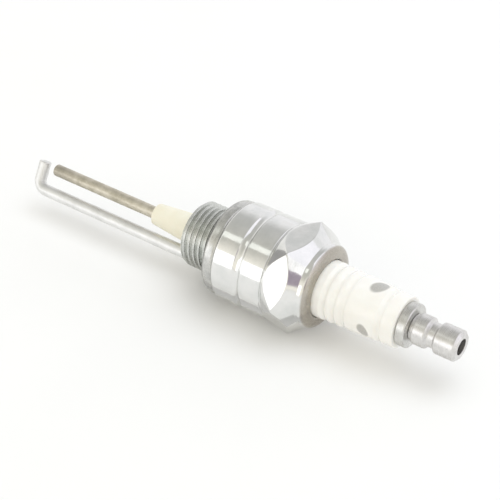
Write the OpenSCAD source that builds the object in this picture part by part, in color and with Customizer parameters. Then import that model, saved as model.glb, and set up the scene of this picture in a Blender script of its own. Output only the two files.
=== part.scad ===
// Burner ignition electrode of the spark-igniter kind, with its own ground rod.
// Frame: X is the thread axis and +X points to the high-voltage terminal.
// +Z is up as the plug lies on one hexagon flat.
// The origin is the centre of the seat gasket's free sealing face.
// Axial places are named *_x and count from that face.

/* [Mounting thread] */
// Major diameter of the mounting thread
thread_d = 13.9; // [13.6:0.05:14]
// Thread pitch
thread_pitch = 1.25; // [1:0.25:1.5]
// Length of threaded collar that shows past the gasket
collar_len = 7.8; // [7:0.1:12]

/* [Shell] */
// Diameter of the round lands behind the gasket
land_d = 20.8; // [20:0.1:20.8]
// Length of the land next to the gasket
front_land_len = 4.8; // [3:0.1:6]
// Width of the groove between the two lands
groove_w = 2; // [1:0.1:3]
// Depth of the groove between the two lands
groove_depth = 0.45; // [0.2:0.05:0.8]
// Length of the land next to the hexagon
rear_land_len = 5.2; // [3:0.1:6]
// Hexagon size across flats
hex_af = 20.8; // [20.8:0.1:22]
// Width of a hexagon flat at its middle, between the two chamfers
flat_w = 5.1; // [4:0.1:6]
// Chamfer angle at the hexagon's end next to the lands
front_chamfer = 24; // [20:1:30]
// Chamfer angle at the hexagon's end next to the lip
rear_chamfer = 40; // [36:1:40]
// Outer diameter of the rolled lip that holds the insulator
lip_d = 17.7; // [17:0.1:18]

/* [Gasket] */
// Outer diameter of the captive seat gasket
gasket_d = 20.1; // [19.6:0.1:20.4]
// Thickness of the unused gasket
gasket_t = 2.7; // [1.6:0.1:2.8]

/* [Insulator] */
// Length of ceramic nose that stands out of the thread
nose_len = 10.8; // [8:0.1:14]
// Diameter at the end of the nose
nose_tip_d = 4.6; // [4.4:0.1:5]
// Diameter of the insulator where it leaves the lip
neck_d = 12; // [11.8:0.05:12.1]
// Diameter of the insulator at the terminal end
head_d = 10.6; // [10:0.1:11]
// Depth of the rounded grooves in the upper insulator
rib_depth = 0.42; // [0.2:0.02:0.6]
// Distance between neighbouring grooves next to the lip
rib_pitch = 2.15; // [1.9:0.05:2.3]

/* [Electrodes] */
// Diameter of the centre and ground rods
rod_d = 2.6; // [2.2:0.1:2.8]
// Length of bare centre electrode past the nose
electrode_len = 27.7; // [15:0.1:60]
// Gap between the centre electrode's end and the ground arm
spark_gap = 2.2; // [1.5:0.1:4]
// Distance between the axes of the two rods
ground_offset = 5.1; // [5:0.05:5.3]
// Turn of the ground rod about the plug's axis, from straight down
ground_turn = 33; // [-60:1:60]
// Centreline radius of the bend at the ground rod's end
bend_r = 2.1; // [1.7:0.1:3]
// How far the ground arm runs past the plug's axis
arm_past_axis = 0.8; // [0:0.1:1.5]

/* [Terminal] */
// Diameter of the terminal nut's head
terminal_d = 6.35; // [6.2:0.05:6.4]
// Diameter of the waist that holds the connector's clip
waist_d = 5; // [4.8:0.1:5.4]
// Diameter of the terminal stud's flange
flange_d = 9; // [8:0.1:9.4]
// Major diameter of the terminal stud's thread
stud_d = 4; // [3.8:0.1:4]

/* [Hidden] */
$fn = 96;

// Thread forms
thread_depth = 0.61 * thread_pitch;
crest_w = 0.24 * thread_pitch;
root_w = 0.12 * thread_pitch;
stud_pitch = 0.7;
thread_end_x = -0.3;
thread_turns = floor((collar_len + thread_end_x - crest_w - 0.35) / thread_pitch);
first_crest_x = thread_end_x - crest_w - thread_turns * thread_pitch;

// Running and loose clearances
loose = 0.12;
slide_gap = 0.05;

// Shell stations along X
collar_x = -collar_len;
shoulder_x = gasket_t + loose;
groove_x = shoulder_x + front_land_len;
rear_land_x = groove_x + groove_w;
neck_x = rear_land_x + rear_land_len;
neck_w = 0.5;
flat_x = neck_x + 0.1;
flat_end_x = flat_x + flat_w;
cone_end_x = flat_end_x + 1.8;
lip_end_x = cone_end_x + 2;
edge = 0.35;

// Shell bore
relief_r = 6.1;
nose_bore_r = 4.5;
bore_r = 7.5;
seat_x = 3.2;
lip_bore_r = neck_d / 2 + 0.12;

// Insulator stations along X
washer_t = 0.5;
nose_end_x = collar_x - nose_len;
ledge_x = seat_x + washer_t / sin(45);
body_r = bore_r - 0.1;
body_x = ledge_x + body_r - nose_bore_r;
body_end_x = cone_end_x - 6.2;
neck_r = neck_d / 2;
shoulder_end_x = body_end_x + body_r - neck_r;
ceramic_end_x = lip_end_x + 17.6;
first_rib_x = lip_end_x + 2.25;
rib_count = 3;
top_rib_x = ceramic_end_x - 3.3;
rib_r = 0.75;
bore_step_x = -1;
upper_bore_r = 2.3;

// Packing between the insulator's shoulder and the lip
wire_r = (bore_r - neck_r) / 2 - 0.06;
wire_centre_r = (neck_r + bore_r) / 2;
lower_wire_x = shoulder_end_x + neck_r + wire_r / sin(45) + 0.02 - wire_centre_r;
upper_wire_x = cone_end_x + 0.1 - wire_r;

// Electrodes
rod_r = rod_d / 2;
tip_x = nose_end_x - electrode_len;
arm_x = tip_x - spark_gap - rod_r;
rod_chamfer = 0.2;
weld_len = 0.8;
weld_rise = 0.45;
rod_head_r = 2.1;
rod_head_len = 2;
rod_stub_len = 1.6;

// Terminal stations along X
flange_t = 2;
flange_end_x = ceramic_end_x + flange_t;
nut_x = flange_end_x + slide_gap;
nut_foot_len = 0.8;
nut_body_len = 3;
nut_waist_len = 1.8;
nut_head_len = 4.5;
nut_body_x = nut_x + nut_foot_len;
nut_waist_x = nut_body_x + nut_body_len;
nut_head_x = nut_waist_x + nut_waist_len;
nut_end_x = nut_head_x + nut_head_len;
nut_foot_r = 2.75;
end_hole_r = 1.65;
stud_end_x = nut_head_x + 1.6;
stud_bottom_x = 7;
stud_shank_r = upper_bore_r - 0.1;
stud_foot_r = 1.7;
stud_foot_len = 5;
seal_end_x = stud_bottom_x + stud_foot_len;

// Solid of revolution about the X axis, from [place along X, radius] points
module turned(profile) {
    rotate([0, 90, 0])
        rotate_extrude()
            polygon([for (point = profile) [point[1], point[0]]]);
}

// Cylinder along +X that starts at x
module bar(x, length, radius) {
    translate([x, 0, 0])
        rotate([0, 90, 0])
            cylinder(h = length, r = radius);
}

// Ring of round wire about the X axis
module wire_ring(x, ring_r, section_r) {
    translate([x, 0, 0])
        rotate([0, 90, 0])
            rotate_extrude()
                translate([ring_r, 0])
                    circle(r = section_r);
}

// Points of one full thread groove after a crest that starts at x
function thread_turn(x, r, pitch, depth, crest, root) = [
    [x, r],
    [x + crest, r],
    [x + crest + (pitch - crest - root) / 2, r - depth],
    [x + crest + (pitch - crest + root) / 2, r - depth]
];

// Points of a run of thread that starts and ends on a crest
function thread_run(x, turns, r, pitch, depth, crest, root) = concat(
    [for (i = [0 : turns - 1])
        each thread_turn(x + i * pitch, r, pitch, depth, crest, root)],
    [[x + turns * pitch, r], [x + turns * pitch + crest, r]]
);

// Hexagon with its corners cut back by a cone from each end
module hexagon_band() {
    flat_r = hex_af / 2;
    front_slope = tan(front_chamfer);
    rear_slope = tan(rear_chamfer);
    crown = flat_w * rear_slope / (front_slope + rear_slope);
    intersection() {
        translate([neck_x - 1, 0, 0])
            rotate([0, 90, 0])
                rotate(30)
                    cylinder(h = cone_end_x - neck_x + 2, d = hex_af / cos(30), $fn = 6);
        turned([
            [neck_x - 0.1, 0],
            [neck_x - 0.1, land_d / 2 - 0.1],
            [flat_x, flat_r],
            [flat_x + crown, flat_r + crown * front_slope],
            [flat_end_x, flat_r],
            [cone_end_x, flat_r - (cone_end_x - flat_end_x) * rear_slope],
            [cone_end_x, 0]
        ]);
    }
}

module shell_body() {
    thread_r = thread_d / 2;
    land_r = land_d / 2;
    lead_in = first_crest_x - collar_x;
    turned(concat(
        [[collar_x, 0], [collar_x, thread_r - lead_in]],
        thread_run(first_crest_x, thread_turns, thread_r, thread_pitch, thread_depth, crest_w, root_w),
        [
            [0, relief_r],
            [shoulder_x, relief_r],
            [shoulder_x, land_r - edge],
            [shoulder_x + edge, land_r],
            [groove_x, land_r],
            [groove_x + groove_depth, land_r - groove_depth],
            [rear_land_x - groove_depth, land_r - groove_depth],
            [rear_land_x, land_r],
            [neck_x - neck_w, land_r],
            [neck_x - neck_w / 2, land_r - neck_w / 2],
            [neck_x, land_r - neck_w / 2],
            [neck_x, 0]
        ]
    ));
}

// Rolled lip: three steps of a rounded shoulder that close on the ceramic
module rolled_lip() {
    lip_r = lip_d / 2;
    turned([
        [cone_end_x - 0.2, 0],
        [cone_end_x - 0.2, lip_r],
        [cone_end_x + 0.55, lip_r],
        [cone_end_x + 1.15, lip_r - 0.55],
        [cone_end_x + 1.65, lip_r - 1.3],
        [lip_end_x, lip_r - 2.2],
        [lip_end_x, 0]
    ]);
}

module shell_bore() {
    past = 1;
    seat_end_x = seat_x + bore_r - nose_bore_r;
    turned([
        [collar_x - past, 0],
        [collar_x - past, nose_bore_r + 0.3 + past],
        [collar_x + 0.3, nose_bore_r],
        [seat_x, nose_bore_r],
        [seat_end_x, bore_r],
        [cone_end_x + 0.1, bore_r],
        [cone_end_x + 0.1, lip_bore_r + 0.6],
        [cone_end_x + 0.7, lip_bore_r],
        [lip_end_x + past, lip_bore_r],
        [lip_end_x + past, 0]
    ]);
}

module shell() {
    color("silver")
        difference() {
            union() {
                shell_body();
                hexagon_band();
                rolled_lip();
            }
            shell_bore();
        }
}

// Folded sheet ring: a round outer fold, flat faces and the open seam of the fold
module seat_gasket() {
    fold_r = gasket_t / 2;
    inner_r = thread_d / 2 - 0.35;
    fold_centre_r = gasket_d / 2 - fold_r;
    seam_r = inner_r + 0.75;
    color("lightslategray")
        difference() {
            union() {
                wire_ring(fold_r, fold_centre_r, fold_r);
                turned([[0, 0], [0, fold_centre_r], [gasket_t, fold_centre_r], [gasket_t, 0]]);
            }
            bar(-1, gasket_t + 2, inner_r);
            turned([
                [gasket_t - 0.4, seam_r],
                [gasket_t - 0.4, seam_r + 0.35],
                [gasket_t + 1, seam_r + 0.35],
                [gasket_t + 1, seam_r]
            ]);
        }
}

// Places a ground rod part: its own -Z side is turned to the rod's side of the plug
module at_ground_rod() {
    rotate([-ground_turn, 0, 0])
        children();
}

module ground_electrode() {
    straight_end_x = arm_x + bend_r;
    arm_top = ground_offset - bend_r + arm_past_axis;
    color("gainsboro")
        at_ground_rod()
            union() {
                translate([0, 0, -ground_offset])
                    bar(straight_end_x, collar_x - straight_end_x, rod_r);
                translate([straight_end_x, 0, bend_r - ground_offset])
                    rotate([90, 0, 0])
                        rotate([0, 0, 180])
                            rotate_extrude(angle = 90)
                                translate([bend_r, 0])
                                    circle(r = rod_r);
                translate([arm_x, 0, bend_r - ground_offset])
                    cylinder(h = arm_top - rod_chamfer, r = rod_r);
                translate([arm_x, 0, arm_past_axis - rod_chamfer])
                    cylinder(h = rod_chamfer, r1 = rod_r, r2 = rod_r - rod_chamfer, $fn = 48);
            }
}

// Weld fillet round the ground rod's foot, dressed back to the thread's root
module ground_weld() {
    color("darkgray")
        intersection() {
            at_ground_rod()
                translate([0, 0, -ground_offset])
                    turned([
                        [collar_x, rod_r],
                        [collar_x, rod_r + weld_rise],
                        [collar_x - weld_len / 2, rod_r + weld_rise / 3],
                        [collar_x - weld_len, rod_r]
                    ]);
            bar(collar_x - weld_len - 1, weld_len + 2, thread_d / 2 - thread_depth);
        }
}

// Radius of the upper insulator at a place along X
function ceramic_r(x) =
    neck_r + (head_d / 2 - neck_r) * (x - lip_end_x) / (ceramic_end_x - lip_end_x);

module rib_groove(x) {
    wire_ring(x, ceramic_r(x) + rib_r - rib_depth, rib_r);
}

module insulator_blank() {
    nose_r = nose_tip_d / 2;
    face_r = 3.35;
    turned([
        [nose_end_x, 0],
        [nose_end_x, nose_r - 0.25],
        [nose_end_x + 0.25, nose_r],
        [collar_x, face_r],
        [seat_x - 1, face_r + 0.6],
        [ledge_x, nose_bore_r],
        [body_x, body_r],
        [body_end_x, body_r],
        [shoulder_end_x, neck_r],
        [lip_end_x, neck_r],
        [ceramic_end_x - 0.6, ceramic_r(ceramic_end_x - 0.6)],
        [ceramic_end_x, head_d / 2 - 0.6],
        [ceramic_end_x, 0]
    ]);
}

module insulator() {
    color("ivory")
        difference() {
            insulator_blank();
            for (i = [0 : rib_count - 1])
                rib_groove(first_rib_x + i * rib_pitch);
            rib_groove(top_rib_x);
            bar(nose_end_x - 1, bore_step_x - nose_end_x + 2, rod_r);
            bar(bore_step_x, ceramic_end_x - bore_step_x + 1, upper_bore_r);
        }
}

// Soft conical washer between the insulator's ledge and the shell's inner seat
module seat_washer() {
    inner_r = nose_bore_r + 0.4;
    outer_r = bore_r - 0.3;
    color("peru")
        turned([
            [seat_x + inner_r - nose_bore_r, inner_r],
            [seat_x + outer_r - nose_bore_r, outer_r],
            [ledge_x + outer_r - nose_bore_r, outer_r],
            [ledge_x + inner_r - nose_bore_r, inner_r]
        ]);
}

module packing_ring(x) {
    color("dimgray")
        wire_ring(x, wire_centre_r, wire_r);
}

module lower_packing_ring() {
    packing_ring(lower_wire_x);
}

module upper_packing_ring() {
    packing_ring(upper_wire_x);
}

module talc_seal() {
    start_x = lower_wire_x + wire_r;
    end_x = upper_wire_x - wire_r;
    color("whitesmoke")
        difference() {
            bar(start_x, end_x - start_x, bore_r);
            bar(start_x - 1, end_x - start_x + 2, neck_r);
        }
}

module centre_electrode() {
    head_end_x = bore_step_x + rod_head_len;
    color("darkkhaki")
        turned([
            [tip_x, 0],
            [tip_x, rod_r - rod_chamfer],
            [tip_x + rod_chamfer, rod_r],
            [bore_step_x, rod_r],
            [bore_step_x, rod_head_r],
            [head_end_x, rod_head_r],
            [head_end_x, rod_r],
            [head_end_x + rod_stub_len, rod_r],
            [head_end_x + rod_stub_len, 0]
        ]);
}

// Conductive glass that joins the electrode's head to the stud's foot
module glass_seal() {
    start_x = bore_step_x + rod_head_len;
    color("darkslategray")
        difference() {
            bar(start_x, seal_end_x - start_x, upper_bore_r);
            bar(start_x - 1, rod_stub_len + 1, rod_r);
            bar(stud_bottom_x, stud_foot_len + 1, stud_foot_r);
        }
}

module terminal_stud() {
    thread_r = stud_d / 2;
    depth = 0.6 * stud_pitch;
    crest = 0.2 * stud_pitch;
    root = 0.15 * stud_pitch;
    thread_x = nut_x + 0.6;
    stud_turns = floor((stud_end_x - depth - thread_x - crest) / stud_pitch);
    thread_end = thread_x + 2 * depth + stud_turns * stud_pitch + crest;
    color("silver")
        turned(concat(
            [
                [stud_bottom_x, 0],
                [stud_bottom_x, stud_foot_r],
                [seal_end_x, stud_foot_r],
                [seal_end_x, stud_shank_r],
                [ceramic_end_x, stud_shank_r],
                [ceramic_end_x, flange_d / 2 - 0.2],
                [ceramic_end_x + 0.2, flange_d / 2],
                [flange_end_x - 0.3, flange_d / 2],
                [flange_end_x, flange_d / 2 - 0.3],
                [flange_end_x, thread_r - depth],
                [thread_x, thread_r - depth]
            ],
            thread_run(thread_x + depth, stud_turns, thread_r, stud_pitch, depth, crest, root),
            [
                [thread_end, thread_r - depth],
                [thread_end, 0]
            ]
        ));
}

// Push-on terminal nut: foot, body, waist and head on one turned outline
module terminal_nut() {
    head_r = terminal_d / 2;
    waist_r = waist_d / 2;
    end_chamfer = 0.55;
    color("silver")
        difference() {
            turned([
                [nut_x, 0],
                [nut_x, nut_foot_r],
                [nut_body_x, nut_foot_r],
                [nut_body_x, head_r - 0.3],
                [nut_body_x + 0.3, head_r],
                [nut_waist_x - 0.6, head_r],
                [nut_waist_x, waist_r],
                [nut_head_x - 0.5, waist_r],
                [nut_head_x, head_r - 0.2],
                [nut_head_x + 0.2, head_r],
                [nut_end_x - end_chamfer, head_r],
                [nut_end_x, head_r - end_chamfer],
                [nut_end_x, 0]
            ]);
            bar(nut_x - 1, stud_end_x + 0.4 - nut_x + 1, stud_d / 2 + slide_gap);
            bar(nut_x, nut_end_x - nut_x + 1, end_hole_r);
        }
}

shell();
seat_gasket();
ground_electrode();
ground_weld();
insulator();
seat_washer();
lower_packing_ring();
talc_seal();
upper_packing_ring();
centre_electrode();
glass_seal();
terminal_stud();
terminal_nut();
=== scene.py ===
import math

import bmesh
import bpy
import numpy as np
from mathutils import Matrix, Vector


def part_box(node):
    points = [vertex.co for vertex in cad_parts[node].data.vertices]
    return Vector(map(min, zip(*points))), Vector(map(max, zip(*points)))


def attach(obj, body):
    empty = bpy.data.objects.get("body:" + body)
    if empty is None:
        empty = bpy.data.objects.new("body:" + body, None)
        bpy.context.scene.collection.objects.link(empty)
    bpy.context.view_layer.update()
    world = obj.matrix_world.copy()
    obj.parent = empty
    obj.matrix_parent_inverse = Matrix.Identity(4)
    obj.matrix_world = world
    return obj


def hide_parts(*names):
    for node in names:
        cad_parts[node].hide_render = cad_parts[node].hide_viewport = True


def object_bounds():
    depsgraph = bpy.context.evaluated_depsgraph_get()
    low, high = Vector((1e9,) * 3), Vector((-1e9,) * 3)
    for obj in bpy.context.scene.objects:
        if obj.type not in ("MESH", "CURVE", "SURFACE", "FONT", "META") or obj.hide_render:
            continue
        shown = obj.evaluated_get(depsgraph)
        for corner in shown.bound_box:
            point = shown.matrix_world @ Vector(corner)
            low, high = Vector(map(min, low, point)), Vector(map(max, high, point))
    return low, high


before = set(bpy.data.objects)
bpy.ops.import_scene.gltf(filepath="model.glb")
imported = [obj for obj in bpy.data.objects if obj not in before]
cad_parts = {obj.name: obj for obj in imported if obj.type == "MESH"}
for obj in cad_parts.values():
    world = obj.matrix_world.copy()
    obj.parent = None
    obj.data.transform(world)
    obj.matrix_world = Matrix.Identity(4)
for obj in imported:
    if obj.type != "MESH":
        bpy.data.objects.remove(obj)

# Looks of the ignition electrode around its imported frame.
# The plug's axis is X, +X is the terminal end, and the seat gasket's free face is at X = 0.
# Outlines are written in millimetres, as (place along X, radius, corner rounding).
# Meshes are in metres.

MM = 0.001
cad_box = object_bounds()


# ---------------------------------------------------------------- sizes, from the frame

def span(node):
    """First and last place of a CAD node along the plug's axis, in millimetres."""
    low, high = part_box(node)
    return low.x / MM, high.x / MM


def reach(node):
    """Largest height of a CAD node above the plug's axis, in millimetres."""
    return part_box(node)[1].z / MM


COLLAR_X, LIP_END_X = span("shell")
HEX_R = reach("shell")                           # half the hexagon's size across flats
HEX_CORNER_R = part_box("shell")[1].y / MM
GASKET_X, GASKET_END_X = span("seat_gasket")
GASKET_R = reach("seat_gasket")
NOSE_END_X, CERAMIC_END_X = span("insulator")
CERAMIC_BODY_R = reach("insulator")
TIP_X, ELECTRODE_END_X = span("centre_electrode")
ELECTRODE_HEAD_R = reach("centre_electrode")
STUD_X, STUD_END_X = span("terminal_stud")
FLANGE_R = reach("terminal_stud")
NUT_X, NUT_END_X = span("terminal_nut")
NUT_R = reach("terminal_nut")
ARM_FACE_X = span("ground_electrode")[0]

# Shell
THREAD_R = 6.95
THREAD_PITCH = 1.25
THREAD_DEPTH = 0.7
RELIEF_R = 6.1
LAND_R = HEX_R
FRONT_LAND_LEN = 4.8
GROOVE_W = 2
GROOVE_DEPTH = 0.45
REAR_LAND_LEN = 5.2
FLAT_W = 5.1
CONE_LEN = 1.8
SHOULDER_X = GASKET_END_X + 0.12
GROOVE_X = SHOULDER_X + FRONT_LAND_LEN
REAR_LAND_X = GROOVE_X + GROOVE_W
NECK_X = REAR_LAND_X + REAR_LAND_LEN
FLAT_X = NECK_X + 0.1
FLAT_END_X = FLAT_X + FLAT_W
CONE_END_X = FLAT_END_X + CONE_LEN
FRONT_SLOPE = math.tan(math.radians(24))
REAR_SLOPE = math.tan(math.radians(40))
CROWN_X = FLAT_X + (FLAT_END_X - FLAT_X) * REAR_SLOPE / (FRONT_SLOPE + REAR_SLOPE)  # where they meet
LIP_R = 8.85
LIP_BORE_R = 6.12
BORE_R = 7.5
NOSE_BORE_R = 4.5
SEAT_X = 3.2

# Insulator
NECK_R = 6.0
HEAD_R = 5.3
RIB_PITCH = 2.15
FIRST_RIB_X = LIP_END_X + 2.25
LAST_RIB_X = CERAMIC_END_X - 3.3
RIB_PLACES = [FIRST_RIB_X + RIB_PITCH * i for i in range(3)] + [LAST_RIB_X]
RIB_HALF_W = 0.8
RIB_DEPTH = 0.42
WASHER_T = 0.5                                   # seat washer, square to its 45-degree seat
PACKED_LEN = 6.2                                 # talc and its rings, up to the end of the cone
LEDGE_X = SEAT_X + WASHER_T * math.sqrt(2)
BODY_END_X = CONE_END_X - PACKED_LEN
MARK_X = CERAMIC_END_X - 6.3

# Electrodes and terminal
ROD_R = 1.3
BEND_R = 2.1
ARM_PAST_AXIS = 0.8
ELECTRODE_HEAD_X = -1.0
SLIDE_GAP = 0.05
FLANGE_END_X = NUT_X - SLIDE_GAP
STUD_R = 2.0
STUD_PITCH = 0.7
STUD_THREAD_DEPTH = 0.42


# ---------------------------------------------------------------- mesh building

SMALL_ROUNDING = 0.04


def rounded(outline, closed=False, steps=5, support=0.03):
    """The outline with its corners rounded, as [(x, r), ...]. A corner without a rounding gets a small one.
    A short straight stretch beside each corner keeps the flat faces flat when they are shaded smooth."""
    points = [Vector(p[:2]) for p in outline]
    made = []
    count = len(points)
    for i, (corner, given) in enumerate(zip(points, outline)):
        radius = given[2] if len(given) > 2 else SMALL_ROUNDING
        if (i in (0, count - 1) and not closed) or radius == 0:
            made.append(corner)
            continue
        before = points[i - 1] - corner
        after = points[(i + 1) % count] - corner
        half = before.angle(after) / 2
        most = 0.46 * min(before.length, after.length)
        cut = min(radius / math.tan(half), most) if half < math.radians(89.5) else 0
        if cut <= 0:
            made.append(corner)
            continue
        start = corner + before.normalized() * cut
        end = corner + after.normalized() * cut
        if before.length > 2 * (cut + support):
            made.append(start + before.normalized() * support)
        for k in range(steps + 1):
            t = k / steps
            made.append(start * (1 - t) ** 2 + corner * 2 * t * (1 - t) + end * t ** 2)
        if after.length > 2 * (cut + support):
            made.append(end + after.normalized() * support)
    return [(p.x, p.y) for p in made]


def even_angles(columns):
    """Angles round the axis, from +Z towards +Y, with the same step all round."""
    return np.arange(columns) * 2 * math.pi / columns


def mesh_object(name, vertices, faces):
    """A smooth mesh object from points in millimetres, with its faces turned outwards."""
    mesh = bpy.data.meshes.new(name)
    mesh.from_pydata([tuple(v) for v in np.asarray(vertices) * MM], [], faces)
    built = bmesh.new()
    built.from_mesh(mesh)
    bmesh.ops.remove_doubles(built, verts=built.verts, dist=1e-9)
    bmesh.ops.recalc_face_normals(built, faces=built.faces)
    built.to_mesh(mesh)
    built.free()
    mesh.polygons.foreach_set("use_smooth", [True] * len(mesh.polygons))
    mesh.update()
    made = bpy.data.objects.new(name, mesh)
    bpy.context.scene.collection.objects.link(made)
    return made


def skin(name, xs, rs, angles, ring):
    """Surface round the plug's axis from rows of places and radii, one column for each angle from +Z to +Y.
    As a ring, its last row joins its first. Otherwise each end closes in one point on the axis."""
    rows, columns = xs.shape
    points = np.stack([xs, rs * np.sin(angles), rs * np.cos(angles)], axis=-1).reshape(-1, 3)
    faces = []
    for i in range(rows if ring else rows - 1):
        a = i * columns
        b = (i + 1) % rows * columns
        faces += [(a + j, a + (j + 1) % columns, b + (j + 1) % columns, b + j) for j in range(columns)]
    if not ring:
        points = np.vstack([points, [[xs[0].mean(), 0, 0], [xs[-1].mean(), 0, 0]]])
        last = (rows - 1) * columns
        first_pole = rows * columns
        faces += [(first_pole, (j + 1) % columns, j) for j in range(columns)]
        faces += [(first_pole + 1, last + j, last + (j + 1) % columns) for j in range(columns)]
    return mesh_object(name, points, faces)


def turned_rows(outline, columns):
    """An outline as rows of places and radii that are the same all round."""
    places = np.array(outline)
    return np.repeat(places[:, :1], columns, axis=1), np.repeat(places[:, 1:2], columns, axis=1)


def turned(name, outline, ring=False, columns=128):
    """A rounded outline turned round the plug's axis."""
    xs, rs = turned_rows(rounded(outline, closed=ring), columns)
    return skin(name, xs, rs, even_angles(columns), ring)


def smooth_step(t):
    """Eased value from 0 to 1 for t from 0 to 1, and level outside that."""
    t = np.clip(t, 0, 1)
    return t * t * (3 - 2 * t)


def softer_min(a, b, width):
    """The smaller of two values, with the crossing rounded over the given width."""
    h = np.maximum(width - np.abs(a - b), 0) / width
    return np.minimum(a, b) - h * h * width / 4


def thread_r(xs, angles, major_r, pitch, depth, crest=0.16, root=0.14):
    """Radius of a right-hand thread at each place and angle. Crest and root are shares of half a pitch."""
    turn = (xs / pitch + angles / (2 * math.pi)) % 1.0
    from_crest = np.abs(turn - 0.5) * 2
    flank = np.clip((from_crest - crest) / (1 - crest - root), 0, 1)
    softness = 0.35
    return major_r - depth * ((1 - softness) * flank + softness * smooth_step(flank))


# ---------------------------------------------------------------- shell

CORNER_COLUMNS = 48


def hexagon_angles():
    """Angles round the shell, closer together at the hexagon's corners."""
    share = np.linspace(-1, 1, CORNER_COLUMNS, endpoint=False)
    offset = 30 * np.sign(share) * np.abs(share) ** 1.35
    return np.radians(np.concatenate([30 + 60 * k + offset for k in range(6)]))


def hexagon_r(angles):
    """Distance from the axis to the hexagon's flats, with slightly rounded corners."""
    from_flat = np.abs((np.degrees(angles) + 30) % 60 - 30)
    near = HEX_R / np.cos(np.radians(from_flat))
    far = HEX_R / np.cos(np.radians(60 - from_flat))
    return softer_min(near, far, 0.3)


def hexagon_rows(angles):
    """Rows over the double-chamfered hexagon. They crowd along the curved edges of the flats."""
    flats = hexagon_r(angles)
    crown_half_w = 0.12
    front = np.minimum(FLAT_X + (flats - HEX_R) / FRONT_SLOPE, CROWN_X - crown_half_w)
    back = np.maximum(FLAT_END_X - (flats - HEX_R) / REAR_SLOPE, CROWN_X + crown_half_w)
    near = np.minimum(0.14, (back - front) / 4)
    edge = [-1, -0.66, -0.33, 0, 0.33, 0.66, 1]
    first = NECK_X + 0.04
    rows = [first + (front - near - first) * t for t in (0, 0.12, 0.35, 0.6, 0.85)]
    rows += [front + near * k for k in edge]
    rows += [front + near + (back - front - 2 * near) * t for t in (0.1, 0.25, 0.5, 0.75, 0.9)]
    rows += [back + near * k for k in edge]
    rows += [back + near + (CONE_END_X - back - near) * t for t in (0.12, 0.3, 0.5, 0.7, 0.88, 0.97)]
    xs = np.array(rows)
    cone = HEX_R + softer_min((xs - FLAT_X) * FRONT_SLOPE, (FLAT_END_X - xs) * REAR_SLOPE, 0.12)
    return xs, np.minimum(softer_min(cone, np.broadcast_to(flats, xs.shape), 0.1), HEX_CORNER_R)


def collar_rows(angles):
    """Rows over the threaded collar: a lead-in, full thread, and a run-out into the relief."""
    start, end = COLLAR_X + 0.12, GASKET_X - 0.05
    rows_a_turn = 17
    rows = int((end - start) / THREAD_PITCH * rows_a_turn)
    xs = np.repeat(np.linspace(start, end, rows)[:, None], len(angles), axis=1)
    rs = thread_r(xs, angles, THREAD_R, THREAD_PITCH, THREAD_DEPTH)
    lead_in = THREAD_R - THREAD_DEPTH - 0.05 + (xs - COLLAR_X) * 1.1
    rs = softer_min(rs, lead_in, 0.08)
    run_out = smooth_step((xs - (GASKET_X - 0.55)) / 0.4)
    return xs, rs + (RELIEF_R - rs) * run_out


def shell_outline_between():
    """Relief under the gasket, both lands, the hollow groove and the neck before the hexagon."""
    half_w = GROOVE_W / 2
    middle_x = GROOVE_X + half_w
    hollow = [(middle_x + half_w * t, LAND_R - GROOVE_DEPTH * (1 - t * t), 0)
              for t in np.linspace(-0.94, 0.94, 17)]
    return rounded([
        (GASKET_X, RELIEF_R, 0),
        (SHOULDER_X, RELIEF_R, 0.12),
        (SHOULDER_X, LAND_R, 0.42),
        (GROOVE_X, LAND_R, 0.08),
        *hollow,
        (REAR_LAND_X, LAND_R, 0.08),
        (NECK_X - 0.5, LAND_R, 0.12),
        (NECK_X - 0.28, LAND_R - 0.3, 0.12),
        (NECK_X, LAND_R - 0.22, 0),
    ])


def lip_outline():
    """The rolled lip's round shoulder and its closing face against the ceramic."""
    roll_x, roll_r = LIP_END_X - CONE_END_X - 0.45, LIP_R - LIP_BORE_R - 0.35
    turns = np.radians(np.linspace(90, 4, 15))
    roll = [(LIP_END_X + roll_x * (math.cos(t) - 1), LIP_R + roll_r * (math.sin(t) - 1)) for t in turns]
    return [(CONE_END_X + 0.02, LIP_R + 0.02), (CONE_END_X + 0.1, LIP_R)] + roll + [
        (LIP_END_X, LIP_R - roll_r - 0.1),
        (LIP_END_X - 0.05, LIP_BORE_R + 0.03),
        (LIP_END_X - 0.2, LIP_BORE_R),
    ]


def bore_outline():
    """The stepped bore, from under the lip back to the collar's front face."""
    return rounded([
        (LIP_END_X - 0.4, LIP_BORE_R, 0),
        (CONE_END_X + 0.7, LIP_BORE_R, 0.1),
        (CONE_END_X + 0.1, LIP_BORE_R + 0.6, 0.1),
        (CONE_END_X + 0.1, BORE_R, 0.05),
        (SEAT_X + BORE_R - NOSE_BORE_R, BORE_R, 0.1),
        (SEAT_X, NOSE_BORE_R, 0.1),
        (COLLAR_X + 0.35, NOSE_BORE_R, 0.1),
        (COLLAR_X, NOSE_BORE_R + 0.3, 0.06),
        (COLLAR_X, THREAD_R - THREAD_DEPTH - 0.1, 0.06),
        (COLLAR_X + 0.1, THREAD_R - THREAD_DEPTH, 0),
    ])


def build_shell():
    """Collar, lands, hexagon, lip and bore in one closed skin."""
    angles = hexagon_angles()
    columns = len(angles)
    parts = [
        collar_rows(angles),
        turned_rows(shell_outline_between(), columns),
        hexagon_rows(angles),
        turned_rows(lip_outline(), columns),
        turned_rows(bore_outline(), columns),
    ]
    xs = np.vstack([p[0] for p in parts])
    rs = np.vstack([p[1] for p in parts])
    return skin("threaded_shell", xs, rs, angles, ring=True)


# ---------------------------------------------------------------- gasket

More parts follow.
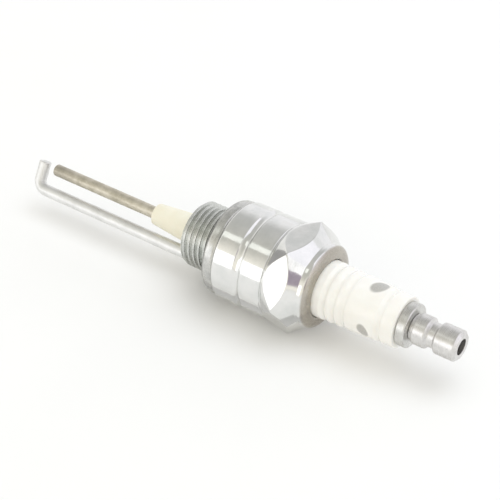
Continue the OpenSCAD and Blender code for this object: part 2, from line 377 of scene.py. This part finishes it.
def build_gasket():
    """Folded sheet ring with round outer folds, a rolled inner edge and the open seam on its back face."""
    inner_r = THREAD_R - 0.35
    back = GASKET_END_X
    return turned("gasket_ring", [
        (GASKET_X + 0.5, inner_r, 0.2),
        (GASKET_X + 0.22, inner_r + 0.35, 0.2),
        (GASKET_X + 0.22, inner_r + 0.85, 0.15),
        (GASKET_X, inner_r + 1.15, 0.2),
        (GASKET_X, GASKET_R, 1.25),
        (back, GASKET_R, 1.25),
        (back, inner_r + 1.3, 0.18),
        (back - 0.42, inner_r + 1.2, 0.08),
        (back - 0.42, inner_r + 0.85, 0.08),
        (back, inner_r + 0.75, 0.18),
        (back, inner_r, 0.3),
    ], ring=True, columns=160)


# ---------------------------------------------------------------- ground rod and its weld

def rod_side():
    """Unit direction from the plug's axis to the ground rod, and the distance between them.
    The rod touches the low sides of its CAD node's box."""
    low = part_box("ground_electrode")[0] / MM
    to_rod = Vector((0, low.y + ROD_R, low.z + ROD_R))
    return to_rod.normalized(), to_rod.length


def tube(name, path, radii, sides=48):
    """Round tube of varying radius along a path in the plane of X and the rod's side, closed at both ends.
    Path points are (x, distance from the plug's axis, heading in radians from +X towards the rod's side)."""
    side, _ = rod_side()
    across = Vector((1, 0, 0)).cross(side)
    vertices, faces = [], []
    for (x, out, heading), radius in zip(path, radii):
        centre = Vector((x, 0, 0)) + side * out
        normal = Vector((-math.sin(heading), 0, 0)) + side * math.cos(heading)
        for k in range(sides):
            a = 2 * math.pi * k / sides
            vertices.append(centre + (normal * math.cos(a) + across * math.sin(a)) * radius)
    for i in range(len(path) - 1):
        a, b = i * sides, (i + 1) * sides
        faces += [(a + k, a + (k + 1) % sides, b + (k + 1) % sides, b + k) for k in range(sides)]
    for ring, end in ((0, path[0]), (len(path) - 1, path[-1])):
        vertices.append(Vector((end[0], 0, 0)) + side * end[1])
        pole = len(vertices) - 1
        faces += [(pole, ring * sides + k, ring * sides + (k + 1) % sides) for k in range(sides)]
    return mesh_object(name, vertices, faces)


def build_ground_rod():
    """Straight rod from the collar's face, a tight bend, and the arm across the spark gap."""
    _, offset = rod_side()
    arm_x = ARM_FACE_X + ROD_R
    bend_x = arm_x + BEND_R
    bend_out = offset - BEND_R
    end_rounding = 0.22
    forwards, inwards = math.pi, 1.5 * math.pi
    path = [(COLLAR_X + inset, offset, forwards) for inset in (0.15, 0, -0.06)]
    radii = [ROD_R - 0.02, ROD_R, ROD_R]
    for t in np.linspace(0.03, 1, 24):
        path.append((COLLAR_X + (bend_x - COLLAR_X) * t, offset, forwards))
        radii.append(ROD_R)
    for turn in np.radians(np.linspace(5, 90, 18)):
        x = bend_x - BEND_R * math.sin(turn)
        out = bend_out + BEND_R * math.cos(turn)
        path.append((x, out, forwards + turn))
        radii.append(ROD_R * (1 - 0.025 * math.sin(2 * turn)))
    for t in np.linspace(0.1, 1, 9):
        path.append((arm_x, bend_out + (end_rounding - ARM_PAST_AXIS - bend_out) * t, inwards))
        radii.append(ROD_R)
    for turn in np.radians(np.linspace(18, 90, 5)):
        path.append((arm_x, end_rounding * (1 - math.sin(turn)) - ARM_PAST_AXIS, inwards))
        radii.append(ROD_R - end_rounding * (1 - math.cos(turn)))
    for inset in (0.03, 0.5, 1.0):
        path.append((arm_x, -ARM_PAST_AXIS, inwards))
        radii.append(ROD_R - end_rounding - inset)
    return tube("ground_rod", path, radii)


def build_weld():
    """Rippled weld bead round the rod's foot, dressed off where it would stand past the thread's root."""
    side, offset = rod_side()
    across = Vector((1, 0, 0)).cross(side)
    foot = Vector((COLLAR_X, 0, 0)) + side * offset
    most_r = THREAD_R - THREAD_DEPTH - 0.06
    bead_w, bead_h = 0.62, 0.78
    sides, rows = 120, 9
    vertices, faces = [], []
    for k in range(sides):
        a = 2 * math.pi * k / sides
        ripple = 0.07 * math.sin(15 * a) + 0.04 * math.sin(7 * a + 1.3)
        away = side * math.cos(a) + across * math.sin(a)
        for i in range(rows):
            t = math.pi / 2 * i / (rows - 1)
            spread = ROD_R - 0.12 + (bead_w + ripple) * math.cos(t) ** 1.4
            height = (bead_h + ripple) * math.sin(t) ** 1.2
            point = foot + away * spread - Vector((height, 0, 0))
            past = math.hypot(point.y, point.z) - most_r
            vertices.append(point - side * max(past, 0) * 1.05)
        vertices.append(foot + away * (ROD_R - 0.4) - Vector((0.5, 0, 0)))
        vertices.append(foot + away * (ROD_R - 0.4) + Vector((0.1, 0, 0)))
        vertices.append(vertices[-rows - 2] + Vector((0.1, 0, 0)))
    count = rows + 3
    for k in range(sides):
        a, b = k * count, (k + 1) % sides * count
        faces += [(a + i, a + (i + 1) % count, b + (i + 1) % count, b + i) for i in range(count)]
    return mesh_object("weld_bead", vertices, faces)


# ---------------------------------------------------------------- insulator

def ceramic_r(x):
    """Radius of the upper insulator, tapered from the lip to the terminal end, with its rounded ribs."""
    taper = NECK_R + (HEAD_R - NECK_R) * (x - LIP_END_X) / (CERAMIC_END_X - LIP_END_X)
    groove = sum(max(math.cos(math.pi / 2 * (x - place) / RIB_HALF_W), 0) ** 1.5
                 for place in RIB_PLACES if abs(x - place) < RIB_HALF_W)
    return taper - RIB_DEPTH * groove


def build_insulator():
    """Nose, body on its seat, ribbed neck, and the bore for the electrode and the stud."""
    nose_r, face_r, bore_r = 2.3, 3.35, 2.3
    body_r = CERAMIC_BODY_R
    shoulder_end_x = BODY_END_X + body_r - NECK_R
    outer = [
        (NOSE_END_X, ROD_R + 0.02, 0),
        (NOSE_END_X, nose_r, 0.3),
        (COLLAR_X, face_r, 0.6),
        (SEAT_X - 1, face_r + 0.6, 0.5),
        (LEDGE_X, NOSE_BORE_R, 0.2),
        (LEDGE_X + body_r - NOSE_BORE_R, body_r, 0.3),
        (BODY_END_X, body_r, 0.3),
        (shoulder_end_x, NECK_R, 0.3),
        (LIP_END_X, NECK_R, 0),
    ]
    ribbed = [(x, ceramic_r(x)) for x in np.arange(LIP_END_X + 0.1, CERAMIC_END_X - 0.75, 0.1)]
    inner = [
        (CERAMIC_END_X - 0.7, ceramic_r(CERAMIC_END_X - 0.7), 0),
        (CERAMIC_END_X, HEAD_R, 0.55),
        (CERAMIC_END_X, bore_r, 0.1),
        (ELECTRODE_HEAD_X, bore_r, 0.1),
        (ELECTRODE_HEAD_X, ROD_R, 0.05),
        (NOSE_END_X + 0.1, ROD_R, 0),
    ]
    outline = rounded(outer, steps=7) + ribbed + rounded(inner, steps=7)
    columns = 144
    xs, rs = turned_rows(outline, columns)
    return skin("ceramic_insulator", xs, rs, even_angles(columns), ring=True)


# ---------------------------------------------------------------- centre electrode and terminal

def build_centre_rod():
    """Rod with a rounded tip, and the head that holds it in the ceramic and the glass."""
    head_end_x = ELECTRODE_HEAD_X + 2
    return turned("centre_rod", [
        (TIP_X, 0.02, 0),
        (TIP_X, ROD_R, 0.24),
        (ELECTRODE_HEAD_X - 0.02, ROD_R, 0.05),
        (ELECTRODE_HEAD_X, ELECTRODE_HEAD_R, 0.2),
        (head_end_x, ELECTRODE_HEAD_R, 0.3),
        (head_end_x, ROD_R, 0.1),
        (ELECTRODE_END_X, ROD_R, 0.15),
        (ELECTRODE_END_X, 0.02, 0),
    ], columns=72)


def build_terminal_stem():
    """Shank in the ceramic, the flange that sits on it, and the threaded stem under the nut."""
    columns = 112
    shank_r, foot_r, foot_end_x = 2.2, 1.7, STUD_X + 5
    root_r = STUD_R - STUD_THREAD_DEPTH
    low = rounded([
        (STUD_X, 0.02, 0),
        (STUD_X, foot_r, 0.2),
        (foot_end_x, foot_r, 0.1),
        (foot_end_x, shank_r, 0.2),
        (CERAMIC_END_X, shank_r, 0.02),
        (CERAMIC_END_X, FLANGE_R, 0.32),
        (FLANGE_END_X, FLANGE_R, 0.38),
        (FLANGE_END_X, root_r, 0.05),
        (FLANGE_END_X + 0.5, root_r, 0),
    ])
    angles = even_angles(columns)
    start, end = FLANGE_END_X + 0.52, STUD_END_X - 0.02
    rows_a_turn = 15
    rows = int((end - start) / STUD_PITCH * rows_a_turn)
    xs = np.repeat(np.linspace(start, end, rows)[:, None], columns, axis=1)
    rs = thread_r(xs, angles, STUD_R, STUD_PITCH, STUD_THREAD_DEPTH)
    rs = softer_min(rs, root_r - 0.04 + (xs - start) * 0.9, 0.06)
    rs = softer_min(rs, root_r + (end - xs) * 0.8, 0.06)
    low_xs, low_rs = turned_rows(low, columns)
    return skin("terminal_stem", np.vstack([low_xs, xs]), np.vstack([low_rs, rs]), angles, ring=False)


def build_terminal_cap():
    """Push-on nut: foot, body, waist and head, drilled from its end."""
    foot_end = NUT_X + 0.8
    waist_x = foot_end + 3
    head_x = waist_x + 1.8
    bore_end = STUD_END_X + 0.4
    bore_r, foot_r, hole_r, waist_r = STUD_R + SLIDE_GAP, 2.75, 1.65, 2.5
    return turned("terminal_cap", [
        (NUT_X, bore_r, 0.15),
        (NUT_X, foot_r, 0.12),
        (foot_end, foot_r, 0.1),
        (foot_end, NUT_R, 0.28),
        (waist_x - 0.55, NUT_R, 0.3),
        (waist_x, waist_r, 0.35),
        (head_x - 0.45, waist_r, 0.35),
        (head_x, NUT_R, 0.3),
        (NUT_END_X - 0.6, NUT_R, 0.12),
        (NUT_END_X, NUT_R - 0.6, 0.12),
        (NUT_END_X, hole_r, 0.12),
        (bore_end + 0.3, hole_r, 0.05),
        (bore_end, bore_r, 0.05),
    ], ring=True, columns=112)


# ---------------------------------------------------------------- materials

class Nodes:
    """A material's node tree, with the pieces that these materials share."""

    def __init__(self, name):
        self.material = bpy.data.materials.new(name)
        self.material.use_nodes = True
        self.tree = self.material.node_tree
        self.shader = next(n for n in self.tree.nodes if n.type == "BSDF_PRINCIPLED")
        self.place = self.add("ShaderNodeTexCoord").outputs["Object"]

    def add(self, kind, **settings):
        node = self.tree.nodes.new(kind)
        for key, value in settings.items():
            setattr(node, key, value)
        return node

    def link(self, source, target):
        self.tree.links.new(source, target)

    def constant(self, **values):
        for key, value in values.items():
            self.shader.inputs[key.replace("_", " ")].default_value = value

    def stretched(self, factors):
        """The object's own coordinates, scaled by a factor along each axis."""
        mapping = self.add("ShaderNodeMapping")
        mapping.inputs["Scale"].default_value = factors
        self.link(self.place, mapping.inputs["Vector"])
        return mapping.outputs["Vector"]

    def noise(self, size_mm, detail=3.0, roughness=0.55, stretch=(1, 1, 1)):
        """Noise with features of about the given size, longer along an axis with a factor under one."""
        node = self.add("ShaderNodeTexNoise")
        node.inputs["Scale"].default_value = 1 / (size_mm * MM)
        node.inputs["Detail"].default_value = detail
        node.inputs["Roughness"].default_value = roughness
        self.link(self.stretched(stretch), node.inputs["Vector"])
        return node.outputs["Fac"]

    def ramp(self, source, stops):
        """Colour or grey value by position, from [(position, value), ...]."""
        node = self.add("ShaderNodeValToRGB")
        band = node.color_ramp
        while len(band.elements) < len(stops):
            band.elements.new(0.5)
        for element, (position, value) in zip(band.elements, stops):
            element.position = position
            element.color = (*value, 1) if hasattr(value, "__len__") else (value, value, value, 1)
        self.link(source, node.inputs["Fac"])
        return node.outputs["Color"]

    def fill(self, socket, value):
        """Links a socket if the value is another one's output, or else sets it."""
        if hasattr(value, "links"):
            self.link(value, socket)
        elif hasattr(value, "__len__"):
            socket.default_value = (*value, 1)
        else:
            socket.default_value = value

    def maths(self, operation, a, b):
        node = self.add("ShaderNodeMath", operation=operation)
        self.fill(node.inputs[0], a)
        self.fill(node.inputs[1], b)
        return node.outputs["Value"]

    def weighted(self, a, a_weight, b, b_weight):
        """Two values added, each times its own weight."""
        return self.maths("ADD", self.maths("MULTIPLY", a, a_weight), self.maths("MULTIPLY", b, b_weight))

    def scaled(self, source, low, high, new_low, new_high, smooth=False):
        """A value moved from one range to another, and held at that range's ends."""
        node = self.add("ShaderNodeMapRange", interpolation_type="SMOOTHSTEP" if smooth else "LINEAR")
        ends = {"From Min": low, "From Max": high, "To Min": new_low, "To Max": new_high}
        for name, value in ends.items():
            node.inputs[name].default_value = value
        self.link(source, node.inputs["Value"])
        return node.outputs["Result"]

    def mixed(self, factor, first, second, kind="MIX"):
        """Two colours mixed by a factor."""
        node = self.add("ShaderNodeMix", data_type="RGBA", blend_type=kind)
        for number, value in ((0, factor), (6, first), (7, second)):
            self.fill(node.inputs[number], value)
        return node.outputs[2]

    def colour(self, source):
        self.link(source, self.shader.inputs["Base Color"])

    def rough(self, source):
        self.link(source, self.shader.inputs["Roughness"])

    def bumps(self, *layers):
        """Bump layers as (height source, depth in millimetres)."""
        below = None
        for source, depth_mm in layers:
            node = self.add("ShaderNodeBump")
            node.inputs["Strength"].default_value = 1.0
            node.inputs["Distance"].default_value = depth_mm * MM
            self.link(source, node.inputs["Height"])
            if below is not None:
                self.link(below, node.inputs["Normal"])
            below = node.outputs["Normal"]
        self.link(below, self.shader.inputs["Normal"])

    def place_xyz(self):
        """The object's own X, Y and Z, in metres."""
        node = self.add("ShaderNodeSeparateXYZ")
        self.link(self.place, node.inputs[0])
        return node.outputs


def plated_steel():
    """Bright plated steel: faint turning lines, handling scuffs and slightly duller patches.
    It is greyer on the threaded collar, and darker brown on the rolled lip; both tones are painted shade."""
    n = Nodes("plated_steel")
    patches = n.noise(3.5, detail=4)
    lines = n.noise(0.09, detail=2, stretch=(1, 0.02, 0.02))
    scuffs = n.noise(0.35, detail=6, roughness=0.7)
    x = n.place_xyz()[0]
    on_lip = n.scaled(x, (CONE_END_X + 0.9) * MM, (CONE_END_X + 1.35) * MM, 0, 1, smooth=True)
    bright = n.ramp(patches, [
        (0.3, (0.70, 0.71, 0.70)), (0.6, (0.79, 0.79, 0.78)), (0.8, (0.74, 0.73, 0.71))])
    # Painted shade: the dark brown tone of the rolled lip stands in for the dark reflections on it.
    painted_lip_shade = n.ramp(patches, [(0.3, (0.40, 0.37, 0.33)), (0.7, (0.49, 0.46, 0.41))])
    # Painted shade: the threaded collar is multiplied to a darker grey for the dimmer reflection of its
    # thread.
    on_collar = n.scaled(x, (GASKET_X - 0.5) * MM, GASKET_X * MM, 1, 0, smooth=True)
    collar_shaded = n.mixed(on_collar, bright, (0.80, 0.81, 0.79), "MULTIPLY")
    n.colour(n.mixed(on_lip, collar_shaded, painted_lip_shade))
    dull = n.scaled(scuffs, 0.35, 0.75, 0.07, 0.20)
    n.rough(n.weighted(dull, 1, n.maths("ADD", on_lip, on_collar), 0.14))
    n.bumps((lines, 0.0012), (patches, 0.03), (scuffs, 0.0015))
    n.constant(Metallic=1.0)
    return n.material


def gasket_metal():
    """Satin plated sheet, uneven in its folds, with painted shade on the side next to the thread."""
    n = Nodes("gasket_metal")
    patches = n.noise(1.6, detail=5)
    grain = n.noise(0.12, detail=4, stretch=(1, 0.2, 0.2))
    sheet = n.ramp(patches, [
        (0.3, (0.44, 0.44, 0.43)), (0.55, (0.60, 0.60, 0.58)), (0.8, (0.50, 0.49, 0.47))])
    x = n.place_xyz()[0]
    # Painted shade: the side next to the thread is darkened for the shadowed gap between gasket and collar.
    painted_shade_near_thread = n.scaled(x, (GASKET_X + 0.2) * MM, (GASKET_X + 0.9) * MM, 1, 0, smooth=True)
    n.colour(n.mixed(painted_shade_near_thread, sheet, (0.20, 0.20, 0.19)))
    n.rough(n.scaled(grain, 0.3, 0.7, 0.18, 0.32))
    n.bumps((grain, 0.004), (patches, 0.03))
    n.constant(Metallic=1.0)
    return n.material


def drawn_wire():
    """Ground rod: drawn heat-resistant wire with fine lines along its length."""
    n = Nodes("drawn_wire")
    streaks = n.noise(0.12, detail=4, stretch=(0.03, 1, 1))
    patches = n.noise(2.5, detail=4)
    n.colour(n.ramp(patches, [
        (0.3, (0.70, 0.70, 0.69)), (0.6, (0.80, 0.80, 0.79)), (0.8, (0.74, 0.73, 0.70))]))
    n.rough(n.scaled(streaks, 0.3, 0.7, 0.40, 0.54))
    n.bumps((streaks, 0.003), (patches, 0.02))
    n.constant(Metallic=1.0)
    return n.material


def oxidised_alloy():
    """Centre electrode: olive-brown oxide over drawn wire, darker towards the spark."""
    n = Nodes("oxidised_alloy")
    patches = n.noise(1.8, detail=6, roughness=0.65)
    streaks = n.noise(0.15, detail=4, stretch=(0.05, 1, 1))
    x = n.place_xyz()[0]
    near_tip = n.scaled(x, TIP_X * MM, (TIP_X + 9) * MM, 1, 0, smooth=True)
    base = n.ramp(patches, [
        (0.3, (0.42, 0.39, 0.31)), (0.5, (0.55, 0.51, 0.42)), (0.72, (0.66, 0.62, 0.53))])
    n.colour(n.mixed(n.maths("MULTIPLY", near_tip, 0.3), base, (0.20, 0.18, 0.17)))
    n.rough(n.scaled(streaks, 0.3, 0.7, 0.32, 0.52))
    n.bumps((streaks, 0.004), (patches, 0.01))
    n.constant(Metallic=0.85)
    return n.material


def mark_mask(n, coordinates, degrees_to_y, half_long_mm, half_wide_mm, slant):
    """One plain oval mark on the ceramic, at an angle from +Z towards +Y: 1 inside, 0 outside.
    Its long axis leans from the way round the ceramic towards +X by the slant, in degrees."""
    x, y, z = coordinates[0], coordinates[1], coordinates[2]
    turn, lean = math.radians(degrees_to_y), math.radians(slant)
    round_way = n.weighted(y, math.cos(turn), z, -math.sin(turn))
    outward = n.weighted(y, math.sin(turn), z, math.cos(turn))
    axial = n.maths("SUBTRACT", x, MARK_X * MM)
    long_way = n.weighted(axial, math.sin(lean), round_way, math.cos(lean))
    wide_way = n.weighted(axial, math.cos(lean), round_way, -math.sin(lean))
    long_share = n.maths("DIVIDE", long_way, half_long_mm * MM)
    wide_share = n.maths("DIVIDE", wide_way, half_wide_mm * MM)
    far = n.maths("ADD", n.maths("POWER", long_share, 2), n.maths("POWER", wide_share, 2))
    inside = n.scaled(far, 0.6, 1.3, 1, 0, smooth=True)
    return n.maths("MULTIPLY", inside, n.maths("GREATER_THAN", outward, 0.002))


def glazed_ceramic():
    """Cream alumina: ivory glaze at the terminal end, a bare yellower nose, and two plain ink marks."""
    n = Nodes("glazed_ceramic")
    clouds = n.noise(4.0, detail=3)
    specks = n.noise(0.25, detail=5, roughness=0.7)
    pitting = n.noise(0.08, detail=3)
    coordinates = n.place_xyz()
    glazed = n.scaled(coordinates[0], (LIP_END_X - 0.5) * MM, LIP_END_X * MM, 0, 1, smooth=True)
    ivory = n.ramp(clouds, [(0.3, (0.90, 0.885, 0.845)), (0.7, (0.94, 0.93, 0.90))])
    bare = n.ramp(clouds, [(0.3, (0.83, 0.79, 0.64)), (0.7, (0.89, 0.86, 0.73))])
    base = n.mixed(glazed, bare, ivory)
    base = n.mixed(n.scaled(specks, 0.66, 0.8, 0, 0.25), base, (0.62, 0.57, 0.47))
    upper = mark_mask(n, coordinates, 7, 2.1, 1.4, 27)
    lower = mark_mask(n, coordinates, -103, 1.7, 1.15, -20)
    broken = n.scaled(specks, 0.3, 0.62, 1.0, 0.72)
    marks = n.maths("MULTIPLY", n.maths("MAXIMUM", upper, lower), broken)
    n.colour(n.mixed(marks, base, (0.38, 0.37, 0.35)))
    bare_rough = n.scaled(pitting, 0.3, 0.7, 0.42, 0.6)
    glaze_rough = n.scaled(clouds, 0.3, 0.7, 0.10, 0.20)
    roughness = n.add("ShaderNodeMix", data_type="FLOAT")
    n.link(glazed, roughness.inputs[0])
    n.link(bare_rough, roughness.inputs[2])
    n.link(glaze_rough, roughness.inputs[3])
    n.rough(roughness.outputs[0])
    n.bumps((clouds, 0.02), (pitting, 0.001))
    n.constant(IOR=1.55)
    n.shader.inputs["Subsurface Weight"].default_value = 0.12
    n.shader.inputs["Subsurface Radius"].default_value = (0.0012, 0.001, 0.0008)
    return n.material


def dull_nickel(name, light, dark):
    """Terminal parts: dull nickel plate with turning lines and uneven patches."""
    n = Nodes(name)
    patches = n.noise(1.3, detail=5)
    lines = n.noise(0.07, detail=3, stretch=(1, 0.03, 0.03))
    n.colour(n.ramp(patches, [(0.3, dark), (0.65, light), (0.85, dark)]))
    n.rough(n.scaled(lines, 0.3, 0.7, 0.24, 0.38))
    n.bumps((lines, 0.0014), (patches, 0.02))
    n.constant(Metallic=1.0)
    return n.material


def weld_metal():
    """Weld bead with heat-tinted patches."""
    n = Nodes("weld_metal")
    patches = n.noise(0.5, detail=5, roughness=0.65)
    n.colour(n.ramp(patches, [
        (0.3, (0.30, 0.29, 0.30)), (0.55, (0.48, 0.46, 0.42)), (0.75, (0.38, 0.34, 0.28))]))
    n.rough(n.scaled(patches, 0.3, 0.7, 0.28, 0.5))
    n.bumps((patches, 0.03), (n.noise(0.1), 0.006))
    n.constant(Metallic=1.0)
    return n.material


def plain_solid(name, dark, light, roughness, metallic, feature_mm, bump_mm):
    """Finish for a part sealed inside: two tones, uneven gloss and a fine surface."""
    n = Nodes(name)
    patches = n.noise(feature_mm, detail=5, roughness=0.65)
    n.colour(n.ramp(patches, [(0.3, dark), (0.7, light)]))
    n.rough(n.scaled(patches, 0.3, 0.7, roughness - 0.08, roughness + 0.08))
    n.bumps((patches, bump_mm))
    n.constant(Metallic=metallic)
    return n.material


# ---------------------------------------------------------------- the pieces on their bodies

def dress(piece, material, body, slot, *nodes):
    """Gives a new piece its material and its body, and hides the CAD nodes it stands for; the slot is not
    used.
    """
    piece.data.materials.append(material)
    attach(piece, body)
    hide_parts(*nodes)


def dress_node(node, material):
    """Gives a CAD node that stays as packed its material."""
    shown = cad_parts[node]
    shown.data.materials.clear()
    shown.data.materials.append(material)


dress(build_shell(), plated_steel(), "plug", "plated_shell", "shell")
dress(build_gasket(), gasket_metal(), "gasket", "gasket_steel", "seat_gasket")
dress(build_ground_rod(), drawn_wire(), "plug", "ground_rod", "ground_electrode")
dress(build_weld(), weld_metal(), "plug", "weld_metal", "ground_weld")
dress(build_insulator(), glazed_ceramic(), "plug", "glazed_alumina", "insulator")
dress(build_centre_rod(), oxidised_alloy(), "plug", "electrode_alloy", "centre_electrode")
stem_plate = dull_nickel("stem_plate", (0.68, 0.68, 0.66), (0.56, 0.55, 0.53))
cap_plate = dull_nickel("cap_plate", (0.72, 0.71, 0.70), (0.60, 0.59, 0.58))
dress(build_terminal_stem(), stem_plate, "plug", "terminal_plate", "terminal_stud")
dress(build_terminal_cap(), cap_plate, "nut", "terminal_plate", "terminal_nut")

copper = plain_solid("soft_copper", (0.58, 0.33, 0.22), (0.76, 0.48, 0.35), 0.35, 1.0, 0.8, 0.006)
packing = plain_solid("packing_wire", (0.30, 0.30, 0.29), (0.45, 0.44, 0.42), 0.42, 1.0, 0.3, 0.004)
talc = plain_solid("pressed_talc", (0.78, 0.77, 0.73), (0.90, 0.89, 0.86), 0.85, 0.0, 0.3, 0.02)
glass = plain_solid("seal_glass", (0.05, 0.05, 0.06), (0.14, 0.14, 0.15), 0.25, 0.0, 0.4, 0.01)
dress_node("seat_washer", copper)
dress_node("lower_packing_ring", packing)
dress_node("upper_packing_ring", packing)
dress_node("talc_seal", talc)
dress_node("glass_seal", glass)


# ---------------------------------------------------------------- floor, light and camera

FLOOR_Z = cad_box[0].z
CARD_AIM = (0.008, 0, 0)
LIGHT_AIM = (0.005, 0, 0)


def stage_material(name, colour, emission=None):
    """Matt and faintly mottled, or plain glowing if an emission strength is given."""
    n = Nodes(name)
    if emission is None:
        mottle = n.noise(40, detail=2)
        low = tuple(c * 0.985 for c in colour)
        n.colour(n.ramp(mottle, [(0.3, low), (0.7, colour)]))
        n.constant(Roughness=0.75)
        n.shader.inputs["Specular IOR Level"].default_value = 0.15
    else:
        n.constant(Base_Color=(0, 0, 0, 1))
        n.shader.inputs["Emission Color"].default_value = (*colour, 1)
        n.shader.inputs["Emission Strength"].default_value = emission
        n.shader.inputs["Specular IOR Level"].default_value = 0
    return n.material


def flat_panel(name, centre, facing, width, height, material):
    """A rectangle of the given width, along X as far as it can be, and height, which faces a point."""
    normal = (Vector(facing) - Vector(centre)).normalized()
    along = (Vector((1, 0, 0)) - normal * normal.x).normalized()
    up = normal.cross(along)
    corners = [Vector(centre) + along * (sx * width / 2) + up * (sy * height / 2)
               for sx, sy in ((-1, -1), (1, -1), (1, 1), (-1, 1))]
    mesh = bpy.data.meshes.new(name)
    mesh.from_pydata([tuple(c) for c in corners], [], [(0, 1, 2, 3)])
    mesh.materials.append(material)
    panel = bpy.data.objects.new(name, mesh)
    bpy.context.scene.collection.objects.link(panel)
    return panel


def show_in_gloss_only(panel):
    """Hides a panel from everything but reflections."""
    panel.visible_camera = False
    panel.visible_diffuse = False
    panel.visible_shadow = False
    panel.visible_transmission = False


def reflection_card(name, direction, distance, width, height, colour, emission):
    """A soft card that shows only in glossy surfaces."""
    centre = Vector(direction).normalized() * distance
    card = flat_panel(name, centre, CARD_AIM, width, height, stage_material(name, colour, emission))
    show_in_gloss_only(card)


def soft_light(name, place, size, power, colour):
    """A round area light that doesn't show in reflections."""
    data = bpy.data.lights.new(name, "AREA")
    data.shape = "DISK"
    data.size = size
    data.energy = power
    data.color = colour
    light = bpy.data.objects.new(name, data)
    light.location = place
    light.rotation_euler = (Vector(LIGHT_AIM) - Vector(place)).to_track_quat("-Z", "Y").to_euler()
    light.visible_glossy = False
    bpy.context.scene.collection.objects.link(light)


def soft_world():
    """Pale surroundings, brighter near the horizon, warmer on the -Y side and cooler on the +Y side."""
    world = bpy.data.worlds.new("studio")
    bpy.context.scene.world = world
    world.use_nodes = True
    tree = world.node_tree
    background = next(x for x in tree.nodes if x.type == "BACKGROUND")
    place = tree.nodes.new("ShaderNodeTexCoord")
    split = tree.nodes.new("ShaderNodeSeparateXYZ")
    ramp = tree.nodes.new("ShaderNodeValToRGB")
    ramp.color_ramp.elements.new(0.5)
    heights = ((0.0, (1.0, 0.98, 0.945)), (0.5, (0.92, 0.905, 0.875)), (0.74, (0.57, 0.565, 0.54)))
    for element, (position, colour) in zip(ramp.color_ramp.elements, heights):
        element.position = position
        element.color = (*colour, 1)
    tree.links.new(place.outputs["Generated"], split.inputs[0])
    tree.links.new(split.outputs["Z"], ramp.inputs["Fac"])
    side = tree.nodes.new("ShaderNodeMapRange")
    side.inputs["From Min"].default_value = -1
    tree.links.new(split.outputs["Y"], side.inputs["Value"])
    tint = tree.nodes.new("ShaderNodeMix")
    tint.data_type = "RGBA"
    tint.inputs[6].default_value = (1.02, 1.0, 0.915, 1)
    tint.inputs[7].default_value = (0.98, 1.0, 1.06, 1)
    tree.links.new(side.outputs["Result"], tint.inputs[0])
    tinted = tree.nodes.new("ShaderNodeMix")
    tinted.data_type = "RGBA"
    tinted.blend_type = "MULTIPLY"
    tinted.inputs[0].default_value = 1
    tree.links.new(ramp.outputs["Color"], tinted.inputs[6])
    tree.links.new(tint.outputs[2], tinted.inputs[7])
    tree.links.new(tinted.outputs[2], background.inputs["Color"])
    background.inputs["Strength"].default_value = 1.1


flat_panel("floor", (0, 0, FLOOR_Z), (0, 0, 1), 8, 8, stage_material("pale_floor", (0.942, 0.942, 0.940)))
soft_world()
soft_light("key", (0.20, 0.20, 0.62), 0.55, 0.68, (0.90, 0.98, 1.12))
soft_light("fill", (0.1, 0.1, 1.3), 1.4, 4.7, (0.965, 0.985, 1.02))
reflection_card("front_card", (-0.42, -0.88, 0.21), 0.4, 0.5, 0.19, (1, 1, 1), 1.7)
reflection_card("strip_card", (-0.42, -0.38, 0.82), 0.4, 0.4, 0.075, (0.99, 1.0, 0.94), 1.2)
reflection_card("rear_card", (0.72, 0.25, 0.60), 0.4, 0.4, 0.34, (0.96, 0.95, 1.0), 1.25)
reflection_card("left_flag", (-0.97, -0.06, 0.24), 0.4, 0.2, 0.17, (1.0, 0.98, 0.96), 0.42)
reflection_card("rim_card", (0.90, -0.22, 0.36), 0.38, 0.16, 0.16, (1.0, 0.99, 1.0), 1.4)
reflection_card("lens_card", (0.81, -0.50, 0.29), 0.33, 0.07, 0.13, (0.64, 0.55, 0.65), 0.65)
# A darker strip on the floor under the shell, for its lower edge to reflect.
under_flag = flat_panel("under_flag", (0.012, -0.0108, FLOOR_Z + 0.0004), (0.012, -0.0108, 1), 0.036, 0.0045,
                        stage_material("under_flag", (1.0, 0.99, 0.96), 0.62))
show_in_gloss_only(under_flag)


def photo_camera():
    """Camera that looks at the hexagon, and is then turned so that the hexagon sits right of the middle."""
    azimuth, elevation = math.radians(34), math.radians(40.5)
    distance, shift_right, shift_down = 0.3, 0.011, 0.0057
    back = Vector((math.sin(azimuth) * math.cos(elevation), -math.cos(azimuth) * math.cos(elevation),
                   math.sin(elevation)))
    right = Vector((math.cos(azimuth), math.sin(azimuth), 0))
    up = back.cross(right)
    subject = Vector((LIP_END_X - 5.22, 0, 0)) * MM
    place = subject + back * distance
    aim = subject - right * shift_right + up * shift_down
    level = (-back).to_track_quat("-Z", "Y")
    data = bpy.data.cameras.new("camera")
    data.sensor_width = 36
    data.lens = 109.7
    data.clip_start = 0.01
    camera = bpy.data.objects.new("camera", data)
    camera.location = place
    camera.rotation_mode = "QUATERNION"
    camera.rotation_quaternion = (-back).rotation_difference(aim - place) @ level
    bpy.context.scene.collection.objects.link(camera)
    bpy.context.scene.camera = camera


photo_camera()
bpy.context.scene.view_settings.view_transform = "Standard"
